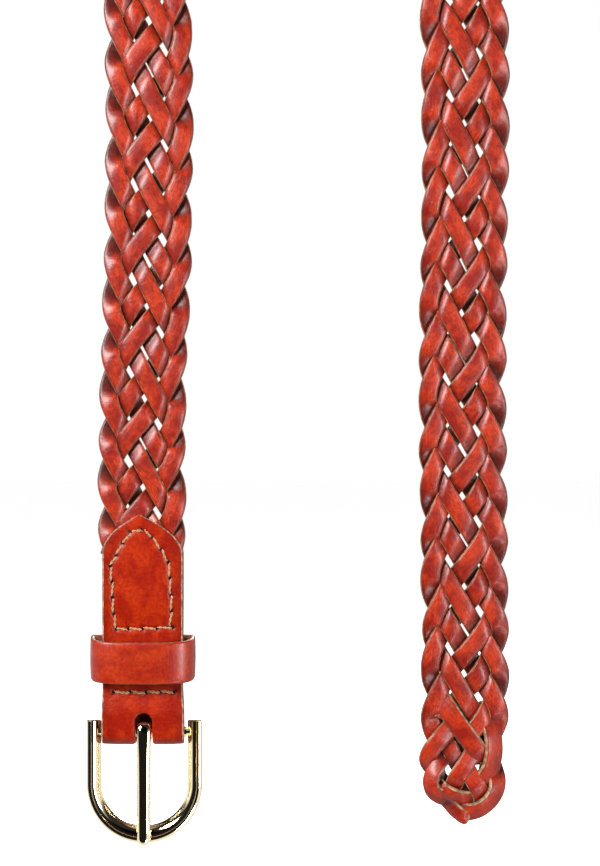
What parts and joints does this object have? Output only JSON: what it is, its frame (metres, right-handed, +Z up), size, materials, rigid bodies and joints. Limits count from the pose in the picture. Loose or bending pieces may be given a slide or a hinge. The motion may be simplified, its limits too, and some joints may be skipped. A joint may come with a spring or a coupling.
{
  "type": "braided leather belt",
  "caption": "Flat braided leather belt with a stitched leather tab, sliding keeper, D-shaped prong buckle and knotted tip, hung by its middle.",
  "frame": {"origin": "under the top of the arch where the strap hangs over a peg", "axes": "+Z up along the hanging legs, X across from the buckle leg (-X) to the tip leg (+X), -Y out of the outer side of both legs"},
  "size_m": [0.1407, 0.0286, 0.5217],
  "materials": {
    "braid_leather": "semi-gloss full-grain leather strips with raw tan edges",
    "tab_leather": "smooth semi-gloss leather",
    "brass": "polished pale gold plating",
    "thread": "waxed twisted thread"
  },
  "bodies": {
    "strap_top": {"strand_1_top": "braid_leather", "strand_2_top": "braid_leather", "strand_3_top": "braid_leather", "strand_4_top": "braid_leather", "strand_5_top": "braid_leather", "strand_6_top": "braid_leather"},
    "buckle_leg": {"strand_1_buckle_leg": "braid_leather", "strand_2_buckle_leg": "braid_leather", "strand_3_buckle_leg": "braid_leather", "strand_4_buckle_leg": "braid_leather", "strand_5_buckle_leg": "braid_leather", "strand_6_buckle_leg": "braid_leather", "tab": "tab_leather", "upper_seam_front": "thread", "upper_seam_back": "thread", "lower_seam_front": "thread", "lower_seam_back": "thread"},
    "tip_leg": {"strand_1_tip_leg": "braid_leather", "strand_2_tip_leg": "braid_leather", "strand_3_tip_leg": "braid_leather", "strand_4_tip_leg": "braid_leather", "strand_5_tip_leg": "braid_leather", "strand_6_tip_leg": "braid_leather"},
    "keeper": {"keeper": "tab_leather"},
    "buckle_frame": {"buckle_frame": "brass", "buckle_bar": "brass"},
    "prong": {"prong": "brass"}
  },
  "joints": [
    {"name": "buckle_leg_bend", "type": "hinge", "parent": "strap_top", "child": "buckle_leg", "pos_m": [-0.053, 0, -0.29], "axis": [1, 0, 0], "range_deg": [-90, 90]},
    {"name": "tip_leg_bend", "type": "hinge", "parent": "strap_top", "child": "tip_leg", "pos_m": [0.053, 0, -0.29], "axis": [1, 0, 0], "range_deg": [-90, 90]},
    {"name": "keeper_slide", "type": "slide", "parent": "buckle_leg", "child": "keeper", "axis": [0, 0, 1], "range_m": [-0.003, 0.0015]},
    {"name": "buckle_swing", "type": "hinge", "parent": "buckle_leg", "child": "buckle_frame", "pos_m": [-0.0536, 0, -0.48075], "axis": [-1, 0, 0], "range_deg": [-90, 45]},
    {"name": "prong_lift", "type": "hinge", "parent": "buckle_frame", "child": "prong", "pos_m": [-0.0536, 0, -0.48075], "axis": [-1, 0, 0], "range_deg": [0, 60]}
  ]
}
